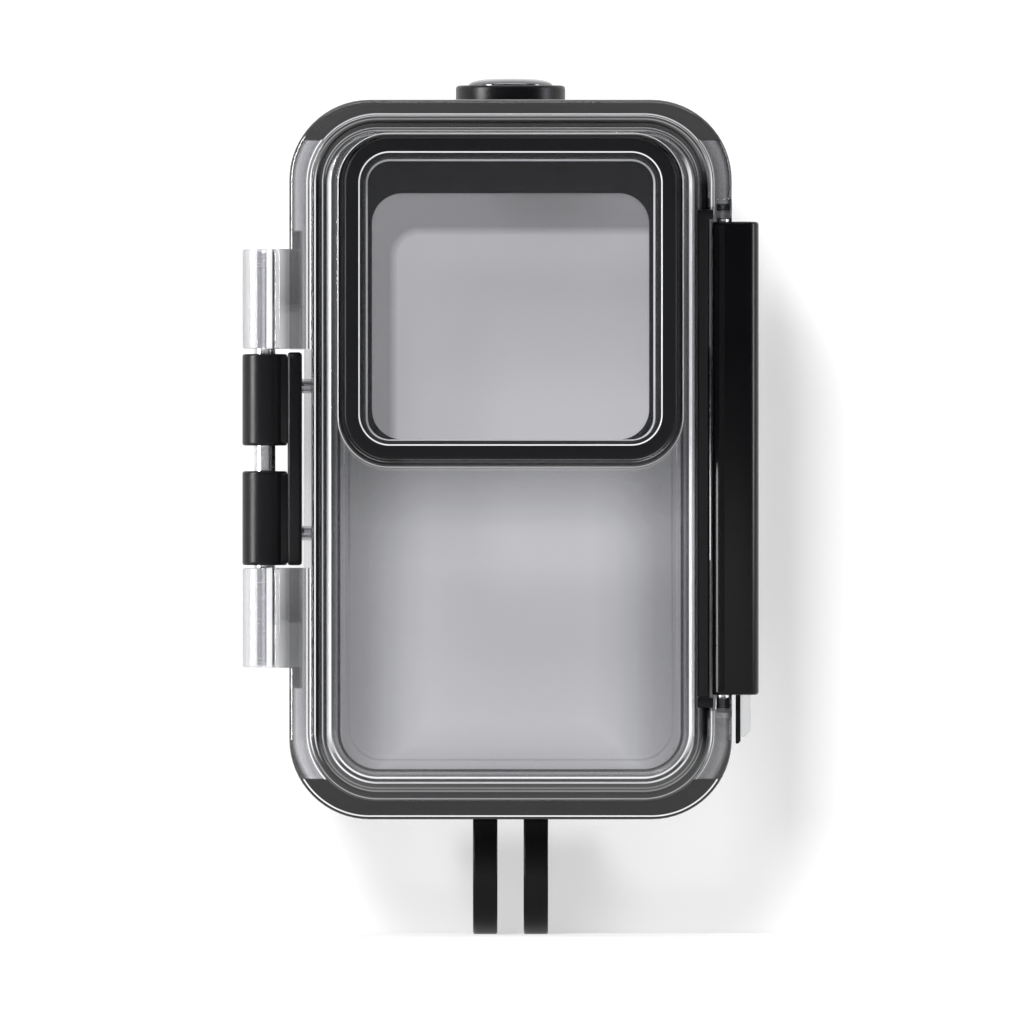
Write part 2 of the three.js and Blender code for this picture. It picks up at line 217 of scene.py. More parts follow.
class Wire:
    def __init__(self, maker, socket):
        self.maker = maker
        self.socket = socket

    def maths(self, operation, first, second=0.0):
        return self.maker.maths(operation, first, second)

    def __add__(self, other):
        return self.maths("ADD", self, other)

    __radd__ = __add__

    def __sub__(self, other):
        return self.maths("SUBTRACT", self, other)

    def __rsub__(self, other):
        return self.maths("SUBTRACT", other, self)

    def __mul__(self, other):
        return self.maths("MULTIPLY", self, other)

    __rmul__ = __mul__

    def __truediv__(self, other):
        return self.maths("DIVIDE", self, other)

    def size(self):
        return self.maths("ABSOLUTE", self)

    def atLeast(self, other):
        return self.maths("MAXIMUM", self, other)

    def atMost(self, other):
        return self.maths("MINIMUM", self, other)

    def root(self):
        return self.maths("SQRT", self)

    def clamped(self):
        return self.atLeast(0.0).atMost(1.0)


class NodeMaker:
    def __init__(self, tree):
        self.tree = tree

    def node(self, kind, settings=None, values=None, output=0):
        made = self.tree.nodes.new(kind)
        for key, setting in (settings or {}).items():
            if key == "stops":
                ramp = made.color_ramp
                while len(ramp.elements) < len(setting):
                    ramp.elements.new(0.5)
                for element, (place, colour) in zip(ramp.elements, setting):
                    element.position = place
                    grey = (colour, colour, colour)
                    element.color = (*(colour if isinstance(colour, tuple) else grey), 1)
            else:
                setattr(made, key, setting)
        for key, value in (values or {}).items():
            socket = made.inputs[key]
            if isinstance(value, Wire):
                self.tree.links.new(value.socket, socket)
            elif isinstance(value, tuple) and len(value) == 3 and socket.type == "RGBA":
                socket.default_value = (*value, 1)
            else:
                socket.default_value = value
        return Wire(self, made.outputs[output] if made.outputs else None)

    def maths(self, operation, first, second=0.0):
        return self.node("ShaderNodeMath", {"operation": operation}, {0: first, 1: second})

    def place(self):
        return self.node("ShaderNodeTexCoord", output="Object")

    def axes(self):
        parts = self.node("ShaderNodeSeparateXYZ", values={"Vector": self.place()})
        return [Wire(self, parts.socket.node.outputs[i]) for i in range(3)]

    def noise(self, scale, detail=3.0, rough=0.5, vector=None):
        return self.node("ShaderNodeTexNoise", values={
            "Vector": vector or self.place(), "Scale": scale, "Detail": detail, "Roughness": rough})

    def mixed(self, factor, first, second):
        made = self.node("ShaderNodeMix", {"data_type": "RGBA"}, {0: factor})
        sockets = made.socket.node.inputs
        for socket, value in ((sockets[6], first), (sockets[7], second)):
            if isinstance(value, Wire):
                self.tree.links.new(value.socket, socket)
            else:
                socket.default_value = (*value, 1)
        return Wire(self, made.socket.node.outputs[2])

    def bump(self, height, strength, distance):
        return self.node("ShaderNodeBump", values={
            "Height": height, "Strength": strength, "Distance": distance})


class Material(NodeMaker):
    def __init__(self, name):
        self.material = bpy.data.materials.new(name)
        self.material.use_nodes = True
        super().__init__(self.material.node_tree)
        self.tree.nodes.clear()

    def finish(self, shader):
        self.node("ShaderNodeOutputMaterial", values={"Surface": shader})
        return self.material


# distance in millimetres from a rounded rectangle's edge on the body's front, negative inside
def edgeDistance(maker, shape):
    x, _, z = maker.axes()
    overX = (x / mm - shape.get("x", 0.0)).size() - (shape["width"] / 2 - shape["radius"])
    overZ = (z / mm - (bodyZ + shape.get("z", 0.0))).size() - (shape["height"] / 2 - shape["radius"])
    beyondX, beyondZ = overX.atLeast(0.0), overZ.atLeast(0.0)
    corner = (beyondX * beyondX + beyondZ * beyondZ).root()
    return corner + overX.atLeast(overZ).atMost(0.0) - shape["radius"]


# a value read off (millimetre, value) stops
def alongStops(maker, distance, stops):
    start, end = stops[0][0], stops[-1][0]
    spread = [((place - start) / (end - start), value) for place, value in stops]
    return maker.node("ShaderNodeValToRGB", {"stops": spread}, {"Fac": (distance - start) / (end - start)})


# stops for narrow lines, each (middle, width, strength), over a base value
def ridges(start, end, base, lines, soft=0.05):
    stops = [(start, base)]
    for middle, width, strength in lines:
        low, high = middle - width / 2, middle + width / 2
        stops += [(low - soft, base), (low, strength), (high, strength), (high + soft, base)]
    return stops + [(end, base)]


body = {"width": 54.0, "height": 87.8, "radius": 9.8}
stepRing = {"width": 48.4, "height": 83.6, "radius": 8.0, "z": 0.2}
port = {"width": 42.2, "height": 40.8, "radius": 6.3, "z": 19.4}
bandRing = {"width": 48.4, "height": 82.9, "radius": 8.0, "z": 0.25}

# painted light: the tint stops paint dark and pale bands of shade, the flange, end and port-ring values paint
# shade, and the line stops paint highlight lines
coverPaintedLightLook = {
    "stops": [(-3.0, 0.07), (-2.55, 0.07), (-1.95, 0.62), (-1.0, 0.46), (-0.75, 0.50), (-0.52, 0.3),
              (-0.15, 0.2), (-0.05, 0.02), (0.28, 0.02), (0.5, 0.10), (0.9, 0.12), (1.12, 0.04), (1.2, 0.3),
              (1.4, 0.1), (1.75, 0.06), (1.82, 1.0), (2.34, 1.0), (2.42, 0.12), (2.6, 0.3), (3.0, 0.6),
              (3.2, 0.2), (3.4, 0.2), (3.5, 0.85), (5.0, 0.85)],
    # painted highlights: each line stop below draws a bright line at a distance from the step, port, window
    # or rim
    "leftHighlights": ridges(-3.0, 3.0, 0.0, [
        (-0.62, 0.08, 0.9), (-0.22, 0.09, 0.95), (0.36, 0.1, 0.85), (1.29, 0.1, 0.3), (2.09, 0.32, 0.5)]),
    "rightHighlights": ridges(-3.0, 3.0, 0.0, [(-0.62, 0.08, 0.35), (-0.32, 0.12, 0.85), (2.24, 0.36, 0.8)]),
    "topHighlights": ridges(-3.0, 3.0, 0.05, [
        (-0.44, 0.1, 0.6), (-0.2, 0.06, 0.4), (0.17, 0.08, 0.24), (1.27, 0.1, 0.33), (1.57, 0.1, 0.28),
        (2.06, 0.1, 0.2)]),
    "bottomHighlights": ridges(-3.0, 3.0, 0.06, [
        (-0.45, 0.1, 0.26), (-0.15, 0.1, 0.28), (0.77, 0.12, 0.22), (1.13, 0.12, 0.2), (1.8, 0.16, 0.8),
        (2.41, 0.18, 0.85)]),
    "portHighlights": ridges(-1.2, 1.0, 0.0, [(-0.76, 0.1, 0.6), (-0.03, 0.12, 0.6)]),
    "sightHighlights": ridges(-0.5, 1.0, 0.0, [(0.12, 0.2, 1.0), (0.7, 0.1, 0.85)]),
    "rimHighlight": ridges(-1.0, 0.0, 0.0, [(-0.42, 0.12, 0.85)]),
    "portShadeRing": 0.9, "endFade": 33.5, "endSpread": 3.5, "endShade": 0.07, "bottomHaze": 0.08,
    "topFlangeShade": 0.2, "bottomFlangeShade": 0.02, "rightFlangeShade": 0.5, "flangeEnds": 38.9, "seam": 1.1,
    "hingeHighlights": ridges(-32.8, -25.0, 0.0, [
        (-31.35, 0.8, 0.55), (-29.43, 0.6, 1.0), (-28.58, 0.15, 0.5)], 0.1),
    "armPaintedShade": [(-28.7, 0.62), (-28.3, 0.46), (-26.9, 0.16), (-25.9, 0.15), (-25.2, 0.32)],
    "knuckle": 0.3, "knuckleTint": 0.95, "knuckleInner": -28.6, "through": 0.76,
    "sharp": 0.15, "flangeInner": -0.35, "flangeSoft": 0.1, "rightFrom": 10.0, "seamShade": 0.85,
    "bandInner": 2.6, "bandSoft": 0.1, "portRingOuter": -1.05, "portRingInner": 0.05, "portFace": -25.0,
    "armInner": -25.3, "armTop": 28.0, "armSoft": 0.2, "armMiddle": 19.5, "armHalf": 6.0,
    "armGain": 0.35, "armBase": 0.8}
bezel = {"width": 40.4, "height": 39.2, "radius": 5.5, "z": 19.6, "ring": 1.85, "front": -25.8,
         "back": -23.9}
sight = {"width": 34.8, "height": 33.9, "radius": 2.7, "z": 19.4}
# painted shade: darker sides, a painted shadow under the port, and behind the port a lit patch with shade
# round it
casePaintedShadeLook = {
    "sideShade": [(4.0, 1.0), (5.1, 1.0), (5.3, 0.55), (6.8, 0.47), (9.3, 0.57), (11.7, 0.76), (14.0, 0.91),
              (17.0, 1.0)],
    "underPortShadow": [(-0.5, 0.44), (2.7, 0.62), (5.2, 0.76), (7.6, 0.9), (12.0, 1.0)],
    "window": {"width": 34.9, "height": 30.0, "radius": 3.7, "x": 2.55, "z": 13.6},
    "windowShade": 0.54, "windowSides": 0.18, "windowSoft": 1.1, "pane": 0.95, "through": 0.76,
    "soft": {"width": 54.0, "height": 93.0, "radius": 9.8, "z": -2.6}, "rim": 0.12}
plasticLook = {"ior": 1.5, "roughness": 0.015, "haze": 0.03, "rippleScale": 45.0, "ripple": 0.04,
               "mirror": 0.04,
               "rim": 0.9, "rimSpread": 3.0, "hue": (0.975, 0.975, 1.0)}


# tinted, with darker grazing edges and a glossy skin; thick bends light, and the highlight mask mixes in a
# pale matte shader that paints highlight lines
def smokyPlastic(maker, tint, through, thick=None, paintedHighlight=None, rim=0.9):
    look = plasticLook
    cloud = maker.noise(look["rippleScale"], 2.0)
    ripple = maker.bump(cloud, look["ripple"], 0.0004)
    facing = maker.node("ShaderNodeLayerWeight", values={"Blend": 0.5}, output="Facing")
    grazing = maker.maths("POWER", facing, look["rimSpread"])
    clear = tint * (1.0 - grazing * rim)
    front = maker.node("ShaderNodeBsdfPrincipled", values={
        "Base Color": maker.mixed(clear, (0.0, 0.0, 0.0), look["hue"]),
        "Roughness": 0.0, "IOR": 1.001, "Transmission Weight": 1.0})
    # painted highlights: the mask given here mixes in a pale matte shader that draws bright lines
    if paintedHighlight:
        highlightShader = maker.node("ShaderNodeBsdfPrincipled", values={
            "Base Color": maker.mixed(cloud, (0.78, 0.78, 0.80), (0.88, 0.88, 0.90)), "Roughness": 0.5})
        front = maker.node("ShaderNodeMixShader", values={0: paintedHighlight, 1: front, 2: highlightShader})
    skin = maker.node("ShaderNodeBsdfAnisotropic", values={
        "Color": (1.0, 1.0, 1.0), "Roughness": look["roughness"] + cloud * look["haze"], "Normal": ripple})
    mirror = maker.maths("POWER", facing, 5.0) * (1.0 - look["mirror"]) + look["mirror"]
    front = maker.node("ShaderNodeMixShader", values={0: mirror, 1: front, 2: skin})
    if thick:
        solid = maker.node("ShaderNodeBsdfPrincipled", values={
            "Base Color": maker.mixed(cloud, (0.93, 0.93, 0.94), (0.97, 0.97, 0.98)),
            "Roughness": look["roughness"] + cloud * look["haze"],
            "IOR": look["ior"], "Transmission Weight": 1.0, "Normal": ripple})
        front = maker.node("ShaderNodeMixShader", values={0: thick, 1: front, 2: solid})
    lightPath = maker.node("ShaderNodeLightPath", output="Is Shadow Ray")
    diffuseRay = Wire(maker, lightPath.socket.node.outputs["Is Diffuse Ray"])
    seeThrough = maker.node("ShaderNodeBsdfTransparent", values={"Color": (through, through, through)})
    return maker.finish(maker.node("ShaderNodeMixShader", values={
        0: lightPath.atLeast(diffuseRay), 1: front, 2: seeThrough}))


# 0 below a place and 1 above it, or the other way round where the width is negative
def above(value, place, width):
    return ((value - place) / width).clamped()


# painted light: dark and pale bands that follow the step and the port paint the shade and light of thick
# walls bending the light, and pale lines paint highlights
def coverPaintedLightPlastic():
    look = coverPaintedLightLook
    maker = Material("coverPaintedLightPlastic")
    x, depth, z = maker.axes()
    across = x / mm
    height = z / mm - bodyZ
    fromMiddle = height.size()
    inward = 0.0 - edgeDistance(maker, bandRing)
    fromPort = edgeDistance(maker, port)
    sharp, ends = look["sharp"], look["flangeEnds"]
    flange = above(inward, look["flangeInner"], -look["flangeSoft"])
    top = above(height, ends, sharp)
    bottom = above(height, -ends, -sharp)
    right = (across - look["rightFrom"]).clamped()
    seam = above(fromMiddle, ends, sharp) - above(fromMiddle, ends + look["seam"], sharp)
    # painted shade: the top, bottom and right flanges and the seam band are darkened
    darker = (1.0 - top * (1.0 - look["topFlangeShade"])) * (1.0 - bottom * (1.0 - look["bottomFlangeShade"]))
    darker = darker * (1.0 - right * (1.0 - look["rightFlangeShade"])) * (1.0 - seam * look["seamShade"])
    inBand = above(inward, look["bandInner"], -look["bandSoft"])
    nearTop = above(height, look["endFade"], look["endSpread"]) * (1.0 - flange) + top * flange
    nearBottom = above(height, -look["endFade"], -look["endSpread"]) * (1.0 - flange) + bottom * flange
    nearEnd = (nearTop + nearBottom) * inBand
    portShadeRing = above(fromPort, look["portRingOuter"], look["bandSoft"]) * above(
        fromPort, look["portRingInner"], -look["bandSoft"])
    arm = above(across, look["armInner"], -look["armSoft"])
    arm = arm * above(fromMiddle, look["armTop"], -look["armSoft"])
    armShade = ((fromMiddle - look["armMiddle"]).size() / look["armHalf"]).clamped() * look["armGain"]
    knuckle = above(across, look["knuckleInner"], -sharp)

    # painted shade: dark and pale bands by depth in from the step ring, darker top and bottom ends and a dark
    # ring round the port
    tint = alongStops(maker, inward, look["stops"]) * (1.0 - flange * (1.0 - darker))
    tint = tint * (1.0 - nearEnd * (1.0 - look["endShade"])) * (1.0 - portShadeRing * look["portShadeRing"])
    # painted shade across the hinge arm, darkest in the middle of its width and of its height
    armPaintedShade = alongStops(maker, across, look["armPaintedShade"]) * (armShade + look["armBase"])
    tint = tint * (1.0 - arm) + arm * armPaintedShade
    tint = tint * (1.0 - knuckle) + knuckle * look["knuckleTint"]

    # painted highlights: bright lines by distance from the step ring, the port, the window and the bottom
    # rim, and bright stripes on the hinge knuckles
    sideHighlights = alongStops(maker, inward, look["leftHighlights"]) * (1.0 - right)
    sideHighlights = sideHighlights + alongStops(maker, inward, look["rightHighlights"]) * right
    lowerHighlights = alongStops(maker, inward, look["bottomHighlights"]) * (1.0 - flange * (1.0 - look["bottomHaze"]))
    endHighlights = alongStops(maker, inward, look["topHighlights"]) * nearTop + lowerHighlights * nearBottom
    lines = sideHighlights * (1.0 - nearTop - nearBottom).clamped() + endHighlights * inBand
    lines = lines * (1.0 - arm) + alongStops(maker, across, look["hingeHighlights"]) * arm
    onPortFace = above(depth / mm, look["portFace"], -look["armSoft"])
    portHighlights = alongStops(maker, fromPort, look["portHighlights"]) * onPortFace
    sightHighlights = alongStops(maker, edgeDistance(maker, sight), look["sightHighlights"])
    rimHighlight = alongStops(maker, edgeDistance(maker, body), look["rimHighlight"]) * bottom
    paintedHighlight = lines.atLeast(portHighlights).atLeast(sightHighlights).atLeast(rimHighlight)
    return smokyPlastic(maker, tint, look["through"], knuckle * look["knuckle"], paintedHighlight)


# painted shade: the case's walls grow darker toward the sides, with a painted shadow of the port behind it
# and under it
def casePaintedShadePlastic():
    look = casePaintedShadeLook
    maker = Material("casePaintedShadePlastic")
    # painted shade growing toward the sides, and a painted shadow falling below the port
    sideShade = alongStops(maker, 0.0 - edgeDistance(maker, look["soft"]), look["sideShade"])
    fromPort = edgeDistance(maker, port)
    under = alongStops(maker, fromPort, look["underPortShadow"])
    # painted shadow behind the port: a lit patch with shade along its top and left, as cast by the bezel
    lit = (edgeDistance(maker, look["window"]) / -look["windowSoft"]).clamped()
    window = lit * (1.0 - look["windowShade"]) + look["windowShade"]
    behindPort = (0.0 - fromPort).clamped()
    sideShade = sideShade + (1.0 - sideShade) * behindPort * (1.0 - look["windowSides"])
    tint = sideShade * (window * behindPort + under * (1.0 - behindPort)) * look["pane"]
    return smokyPlastic(maker, tint, look["through"], rim=look["rim"])


def portGlassMaterial():
    maker = Material("portGlass")
    smear = maker.noise(60.0, 3.0)
    return smokyPlastic(maker, 0.76 + smear * 0.02, 0.9)


def cushionGel():
    maker = Material("cushionGel")
    cloud = maker.noise(80.0, 3.0)
    return smokyPlastic(maker, 0.96 + cloud * 0.03, 0.98, rim=0.03)


def clearClip():
    maker = Material("clearClip")
    cloud = maker.noise(80.0, 3.0)
    return smokyPlastic(maker, 0.84 + cloud * 0.05, 0.95, rim=1.0)


# matte black with a painted highlight line round its inner edge
def bezelNylon():
    look = {"dark": (0.003, 0.003, 0.0035), "light": (0.006, 0.006, 0.007), "highlightLine": (0.78, 0.78, 0.80)}
    maker = Material("bezelNylon")
    cloud = maker.noise(90.0, 4.0)
    # painted highlight: a narrow pale band just inside the bezel's inner edge
    edge = alongStops(maker, edgeDistance(maker, bezel), [
        (-2.2, 0.0), (-1.86, 0.0), (-1.84, 1.0), (-1.72, 1.0), (-1.66, 0.0), (-1.0, 0.0)])
    colour = maker.mixed(edge, maker.mixed(cloud, look["dark"], look["light"]), look["highlightLine"])
    return maker.finish(maker.node("ShaderNodeBsdfPrincipled", values={
        "Base Color": colour, "Roughness": 0.36 + (cloud - 0.5) * 0.08, "Specular IOR Level": 0.15,
        "Normal": maker.bump(maker.noise(2600.0, 4.0, 0.7), 0.08, 0.00008)}))


def moulded(name, dark, light, roughness, spread, grain, depth, coat=0.0):
    maker = Material(name)
    cloud = maker.noise(90.0, 4.0)
    sand = maker.noise(grain, 4.0, 0.7)
    return maker.finish(maker.node("ShaderNodeBsdfPrincipled", values={
        "Base Color": maker.mixed(cloud, dark, light),
        "Roughness": roughness + (cloud - 0.5) * spread, "Coat Weight": coat, "Coat Roughness": 0.25,
        "Specular IOR Level": 0.16,
        "Normal": maker.bump(sand, depth, 0.00008)}))


def metal(name, colour, roughness, spread, scale, stretch):
    maker = Material(name)
    scratches = maker.node("ShaderNodeMapping", values={"Vector": maker.place(), "Scale": stretch})
    lines = maker.noise(scale, 4.0, 0.65, scratches)
    darker = tuple(channel * 0.82 for channel in colour)
    return maker.finish(maker.node("ShaderNodeBsdfPrincipled", values={
        "Base Color": maker.mixed(lines, darker, colour), "Metallic": 1.0,
        "Roughness": roughness + lines * spread, "Normal": maker.bump(lines, 0.08, 0.00004)}))


def siliconeRubber():
    maker = Material("siliconeRubber")
    cloud = maker.noise(140.0, 3.0)
    return maker.finish(maker.node("ShaderNodeBsdfPrincipled", values={
        "Base Color": maker.mixed(cloud, (0.030, 0.030, 0.032), (0.050, 0.050, 0.054)),
        "Roughness": 0.42 + cloud * 0.2, "Subsurface Weight": 0.25, "Subsurface Scale": 0.001,
        "Normal": maker.bump(cloud, 0.1, 0.0001)}))


materials = {
    "clear": coverPaintedLightPlastic(),
    "case": casePaintedShadePlastic(),
    "glass": portGlassMaterial(),
    "gel": cushionGel(),
    "clip": clearClip(),
    "bezel": bezelNylon(),
    "black": moulded("matteBlackNylon", (0.003, 0.003, 0.0035), (0.006, 0.006, 0.007),
                     0.32, 0.08, 2600.0, 0.08),
    "satin": moulded("satinBlackPlastic", (0.0015, 0.0015, 0.002), (0.003, 0.003, 0.0035),
                     0.22, 0.06, 1800.0, 0.04),
    "silicone": siliconeRubber(),
    "rubber": moulded("sealRubber", (0.010, 0.010, 0.011), (0.020, 0.020, 0.022), 0.6, 0.15, 1500.0, 0.3),
    "steel": metal("groundSteel", (0.62, 0.62, 0.64), 0.16, 0.18, 300.0, (1.0, 1.0, 14.0)),
    "polished": metal("polishedSteel", (0.17, 0.17, 0.18), 0.06, 0.1, 240.0, (1.0, 1.0, 1.0)),
}
print("materials ready")


# gives a finished piece its material, its smooth shading and its place on a body
def dress(thing, bodyName, slot, nodes, angle=32, look=None):
    thing.data.materials.clear()
    thing.data.materials.append(materials[look or slot])
    thing.data.shade_smooth()
    thing.data.set_sharp_from_angle(angle=math.radians(angle))
    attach(thing, bodyName)
    if nodes:
        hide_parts(*nodes)
    return thing


# front cover and lens port

cover = {"back": -12.75, "flange": -18.6, "slope": 0.35, "step": -19.7, "panel": -20.9, "port": -25.4,
         "pocket": -18.4, "cavityFront": -16.1, "ledge": -20.8}
panel = {"width": 44.1, "height": 79.0, "radius": 6.3, "z": 0.55}
cavity = {"width": 44.6, "height": 79.2, "radius": 5.5, "back": 7.6}
coverPocket = {"width": 39.4, "height": 74.4, "radius": 4.0, "z": 0.55}
hinge = {"x": -30.0, "y": -12.6, "radius": 2.75, "pin": 1.3, "armX": -25.4, "armFront": -18.9,
         "clear": [(13.5, 25.7), (-25.4, -13.2)], "black": [(1.7, 12.9), (-12.9, -1.4)]}
latch = {"x": 25.9, "y": -18.9, "barrel": 1.3, "pin": 0.7, "top": 29.0, "bottom": -28.7}
latchSeat = {"x": 22.45, "floor": -16.2, "top": 30.8, "bottom": -30.6}
lug = {"inner": 24.9, "outer": 27.0, "front": -20.3, "depth": 2.6}


def knuckle(name, bottom, top, radius, soft):
    return turn(name, [(0.001, bottom, 0), (radius, bottom, soft), (radius, top, soft), (0.001, top, 0)],
                hinge["x"], hinge["y"])


def hole(x, y, radius, bottom, top):
    return turn("hole", [(radius, bottom, 0), (radius, top, 0)], x, y, around=48)


def hingeArm(bottom, top):
    x, y, radius = hinge["x"], hinge["y"], hinge["radius"]
    points = [(x, y - radius), (x + 1.4, y - radius), (x + 1.7, hinge["armFront"]),
              (hinge["armX"], hinge["armFront"]), (hinge["armX"] + 0.6, cover["back"] - 2),
              (hinge["armX"] + 0.6, cover["back"]), (x, cover["back"])]
    return prism("hingeArm", points, bottom, top, 0.25, 3)


def makeCover():
    flangeInner = cover["flange"]
    flangeOuter = flangeInner + cover["slope"]
    keys = [
        (outline(body, cover["back"]), 0.5),
        (outline(body, flangeOuter), 0.7),
        (outline(stepRing, flangeInner), 0.2),
        (outline(stepRing, cover["step"]), 0.35),
        (outline(stepRing, cover["step"] + 0.1, -0.75), 0.1),
        (outline(stepRing, cover["step"] + 0.5, -1.0), 0.15),
        (outline(stepRing, cover["step"] + 0.5, -1.3), 0.15),
        (outline(panel, cover["step"] - 0.1, 0.45), 0.15),
        (outline(panel, cover["panel"] + 0.1, 0.0), 0.35),
        (outline(panel, cover["panel"], -0.7), 0.15),
        (outline(port, cover["panel"]), 0.3),
        (outline(port, cover["port"]), 0.4),
        (outline(bezel, cover["port"], 0.3), 0.12),
        (outline(bezel, cover["ledge"], 0.3), 0.15),
        (outline(sight, cover["ledge"]), 0.35),
        (outline(sight, cover["pocket"]), 0.3),
        (outline(coverPocket, cover["pocket"]), 0.5),
        (outline(coverPocket, cover["cavityFront"]), 0.3),
        (outline(cavity, cover["cavityFront"]), 0.4),
        (outline(cavity, cover["back"]), 0.3),
    ]
    shell = loft("coverShell", keys, closed=True)
    extras = []
    for bottom, top in hinge["clear"]:
        extras.append(hingeArm(bottom, top))
        extras.append(knuckle("clearKnuckle", bottom, top, hinge["radius"], 0.35))
    seat = block("seat", (latchSeat["x"], -40, latchSeat["bottom"]),
                 (40, latchSeat["floor"], latchSeat["top"]), 0.3)
    notch = block("notch", (-60, -40, hinge["clear"][1][1]), (-24.1, 0, hinge["clear"][0][0]))
    combine(shell, [seat], "DIFFERENCE")
    lugs = [block("lug", (lug["inner"], lug["front"], low),
                  (lug["outer"], latchSeat["floor"] + 0.4, low + lug["depth"]), 0.3)
            for low in (latch["top"] + 0.3, latch["bottom"] - 0.3 - lug["depth"])]
    combine(shell, extras + lugs, "UNION")
    pinHoles = [hole(hinge["x"], hinge["y"], hinge["pin"] + 0.1, -40, 40),
                hole(latch["x"], latch["y"], latch["pin"] + 0.1, latch["bottom"] - 2.2, latch["top"] + 2.2)]
    combine(shell, [notch] + pinHoles, "DIFFERENCE")
    return dress(shell, "cover", "clear", ["front_cover"])


def ringPiece(name, shape, width, front, back, soft, bodyName, slot, nodes, grow=0.0, look=None):
    keys = [(outline(shape, back, grow), soft), (outline(shape, front, grow), soft),
            (outline(shape, front, grow - width), soft), (outline(shape, back, grow - width), soft)]
    return dress(loft(name, keys, closed=True), bodyName, slot, nodes, look=look)


def platePiece(name, shape, front, back, soft, grow, bodyName, slot, nodes):
    keys = [(outline(shape, back, grow - 2), 0), (outline(shape, back, grow), soft),
            (outline(shape, front, grow), soft), (outline(shape, front, grow - 2), 0)]
    return dress(loft(name, keys), bodyName, slot, nodes)


makeCover()
ringPiece("portBezel", bezel, bezel["ring"], bezel["front"], bezel["back"], 0.28, "cover", "black",
          ["window_bezel"], look="bezel")
platePiece("portGlass", bezel, -23.6, -21.6, 0.25, -0.5, "cover", "glass", ["window_glass"])
ringPiece("portGasket", bezel, 1.9, -21.45, -20.95, 0.2, "cover", "rubber", ["window_gasket"], grow=-0.4)


def makeBaffle():
    top, bottom, band = 37.3, 0.8, 3.9
    plate = {"width": 38.4, "height": top - bottom, "radius": 3.5, "z": (top + bottom) / 2}
    opening = {"width": sight["width"] - 1, "height": sight["height"] - band, "radius": 3.7,
               "z": sight["z"] - band / 2}
    keys = [(outline(plate, -17.2), 0.15), (outline(plate, -18.2), 0.15),
            (outline(opening, -18.2), 0.3), (outline(opening, -17.2), 0.3)]
    return dress(loft("portBaffle", keys, closed=True), "cover", "black", ["port_baffle"])


makeBaffle()
print("cover ready")


# rear case

tub = {"width": 50.4, "height": 84.6, "radius": 8.2, "flangeBack": -8.05, "back": 10.1}
rim = {"front": -12.45, "grooveDepth": 1.4}
seal = {"width": 48.6, "height": 83.2, "radius": 7.6, "ring": 1.0}
leaf = {"outer": -27.2, "inner": -25.5, "front": -15.7, "back": -1.0, "top": 13.1, "bottom": -12.9}
fork = {"finger": 3.0, "gap": 3.2, "radius": 7.45, "hole": 2.5, "width": 17.0, "depth": 14.0, "recess": 0.8}
button = {"radius": 6.7, "seat": 1.0, "top": 45.8, "well": 5.45, "wellFloor": 43.6}


def makeCase():
    grooveFloor = rim["front"] + rim["grooveDepth"]
    keys = [
        (outline(tub, tub["back"], -4.0), 0),
        (outline(tub, tub["back"]), 1.8),
        (outline(tub, tub["flangeBack"]), 0.5),
        (outline(body, tub["flangeBack"]), 0.7),
        (outline(body, rim["front"]), 0.6),
        (outline(seal, rim["front"], 0.3), 0.1),
        (outline(seal, grooveFloor, 0.3), 0.15),
        (outline(seal, grooveFloor, -1.3), 0.15),
        (outline(seal, rim["front"], -1.3), 0.1),
        (outline(cavity, rim["front"]), 0.25),
        (outline(cavity, cavity["back"]), 2.0),
        (outline(cavity, cavity["back"], -4.0), 0),
    ]
    shell = loft("caseShell", keys)
    halfTub = tub["height"] / 2
    halfFork, depthFork = fork["width"] / 2 + 0.3, fork["depth"] / 2 + 0.3
    tools = [
        block("leafNotch", (-60, -40, leaf["bottom"] - 0.3), (-25.2, 0, leaf["top"] + 0.3)),
        block("forkRecess", (-halfFork, -depthFork, -60), (halfFork, depthFork, -halfTub + fork["recess"])),
        hole(0, 0, button["radius"] + 0.3, halfTub - button["seat"], 60),
        hole(0, 0, 3.3, halfTub - button["seat"] - 0.8, 60),
        hole(0, 0, 2.0, 30, 60),
    ]
    combine(shell, tools, "DIFFERENCE")
    return dress(shell, "case", "clear", ["rear_case"], look="case")


makeCase()
ringPiece("coverSeal", seal, seal["ring"], rim["front"] - 0.1, rim["front"] + 1.1, 0.3, "case", "silicone",
          ["cover_seal"])


def makeHingeLeaf():
    plate = block("hingeLeaf", (leaf["outer"], leaf["front"], leaf["bottom"]),
                  (leaf["inner"], leaf["back"], leaf["top"]), 0.35)
    parts = []
    for bottom, top in hinge["black"]:
        parts.append(block("web", (hinge["x"], hinge["y"] - 1.9, bottom + 0.3),
                           (leaf["inner"] - 0.2, hinge["y"] + 1.9, top - 0.3), 0.25))
        parts.append(knuckle("blackKnuckle", bottom, top, hinge["radius"], 0.35))
    combine(plate, parts, "UNION")
    tools = [hole(hinge["x"], hinge["y"], hinge["pin"] + 0.1, -40, 40)]
    for z in (9.0, -9.0):
        bore = turn("bore", [(1.0, -4, 0), (1.0, 4, 0)])
        tools.append(placed(bore, sideways(leaf["outer"], -4.4, z)))
    combine(plate, tools, "DIFFERENCE")
    return dress(plate, "case", "black", ["hinge_leaf"])


# lays a piece that was made upright at the body's middle along X, at the given place
def sideways(x, y, z):
    lay = Matrix.Rotation(math.radians(-90), 4, "Y")
    home = Matrix.Translation(Vector((0, 0, -bodyZ)) * mm)
    return Matrix.Translation(Vector((x, y, z + bodyZ)) * mm) @ lay @ home


makeHingeLeaf()


def pinPiece(name, at, radius, bottom, top, soft, bodyName, node):
    profile = [(0.001, bottom, 0), (radius, bottom, soft), (radius, top, soft), (0.001, top, 0)]
    return dress(turn(name, profile, at["x"], at["y"]), bodyName, "steel", [node])


